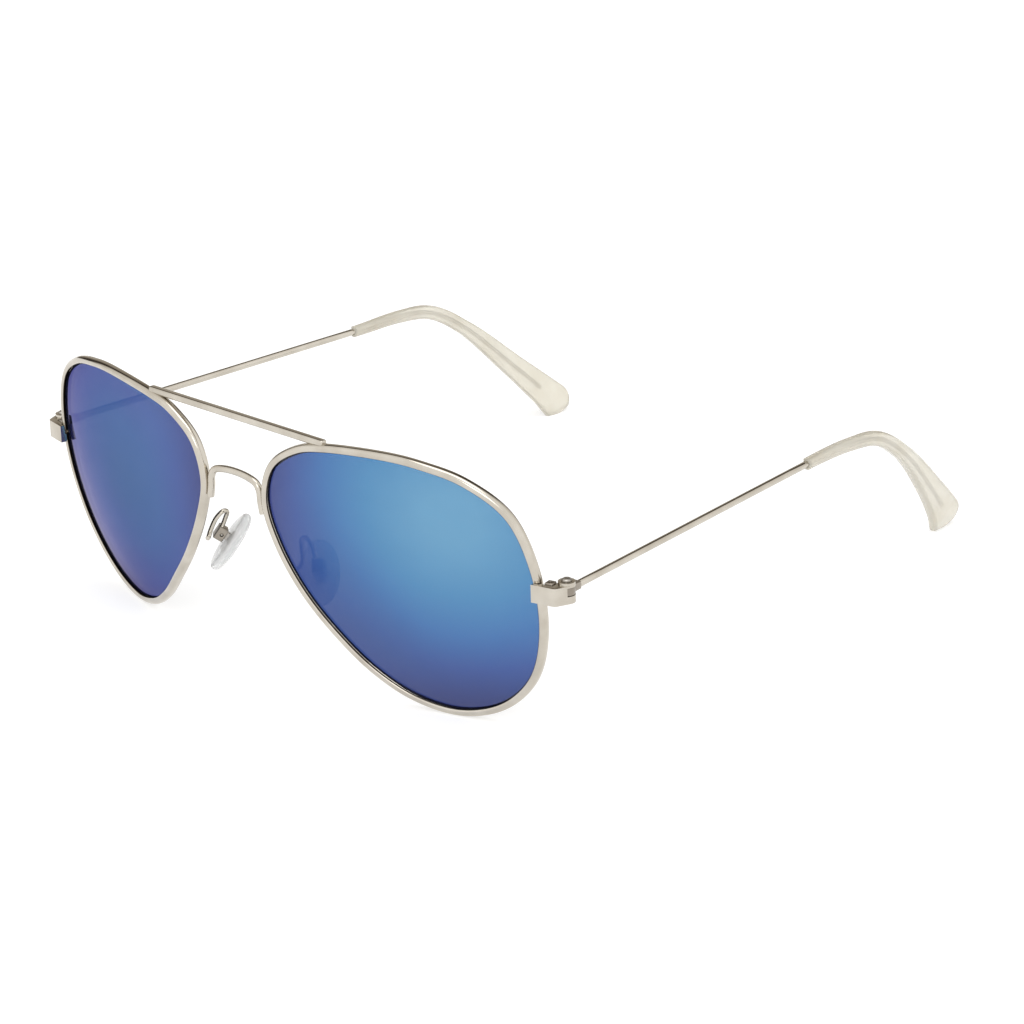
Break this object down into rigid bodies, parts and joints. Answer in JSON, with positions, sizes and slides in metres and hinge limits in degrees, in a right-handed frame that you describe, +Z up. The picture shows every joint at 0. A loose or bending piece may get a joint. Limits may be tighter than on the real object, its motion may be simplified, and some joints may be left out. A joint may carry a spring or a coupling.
{
  "type": "aviator sunglasses",
  "caption": "Metal-framed aviator sunglasses with teardrop mirrored lenses, a brow bar, rocking nose pads and folding wire temples with moulded tips.",
  "frame": {"origin": "on the table that the open sunglasses stand on, under the middle of their bounding box", "axes": "+Z up, -Y the way the front faces, +Y back along the open temples, +X the wearer's left"},
  "size_m": [0.1408, 0.1486, 0.0521],
  "materials": {
    "nickel": "polished nickel plating, slightly warm",
    "steel": "machined stainless steel screws and inserts",
    "lens": "tinted lens with a blue mirror coating on its front",
    "tip": "translucent cream plastic, satin gloss",
    "pad": "clear silicone, smooth"
  },
  "bodies": {
    "front": {"brow_bar": "nickel", "nose_bridge": "nickel", "rim_left": "nickel", "rim_right": "nickel", "lens_left": "lens", "lens_right": "lens", "end_piece_left": "nickel", "end_piece_right": "nickel", "rim_lock_upper_left": "nickel", "rim_lock_upper_right": "nickel", "rim_lock_lower_left": "nickel", "rim_lock_lower_right": "nickel", "rim_lock_screw_left": "steel", "rim_lock_screw_right": "steel", "hinge_screw_left": "steel", "hinge_screw_right": "steel", "pad_arm_left": "nickel", "pad_arm_right": "nickel", "pad_box_left": "nickel", "pad_box_right": "nickel", "pad_screw_left": "steel", "pad_screw_right": "steel"},
    "temple_left": {"temple_hinge_left": "nickel", "temple_wire_left": "nickel", "temple_tip_left": "tip"},
    "temple_right": {"temple_hinge_right": "nickel", "temple_wire_right": "nickel", "temple_tip_right": "tip"},
    "pad_left": {"nose_pad_left": "pad", "pad_insert_left": "steel"},
    "pad_right": {"nose_pad_right": "pad", "pad_insert_right": "steel"}
  },
  "joints": [
    {"name": "temple_left_fold", "type": "hinge", "parent": "front", "child": "temple_left", "pos_m": [0.0688, -0.0571, 0.0296], "axis": [0, 0, 1], "range_deg": [0, 82]},
    {"name": "temple_right_fold", "type": "hinge", "parent": "front", "child": "temple_right", "pos_m": [-0.0688, -0.0571, 0.0296], "axis": [0, 0, -1], "range_deg": [0, 72]},
    {"name": "pad_left_rock", "type": "hinge", "parent": "front", "child": "pad_left", "pos_m": [0.01334, -0.06563, 0.02264], "axis": [0.7593, 0.6497, 0.0381], "range_deg": [-10, 10]},
    {"name": "pad_right_rock", "type": "hinge", "parent": "front", "child": "pad_right", "pos_m": [-0.01334, -0.06563, 0.02264], "axis": [0.7593, -0.6497, -0.0381], "range_deg": [-10, 10]}
  ]
}
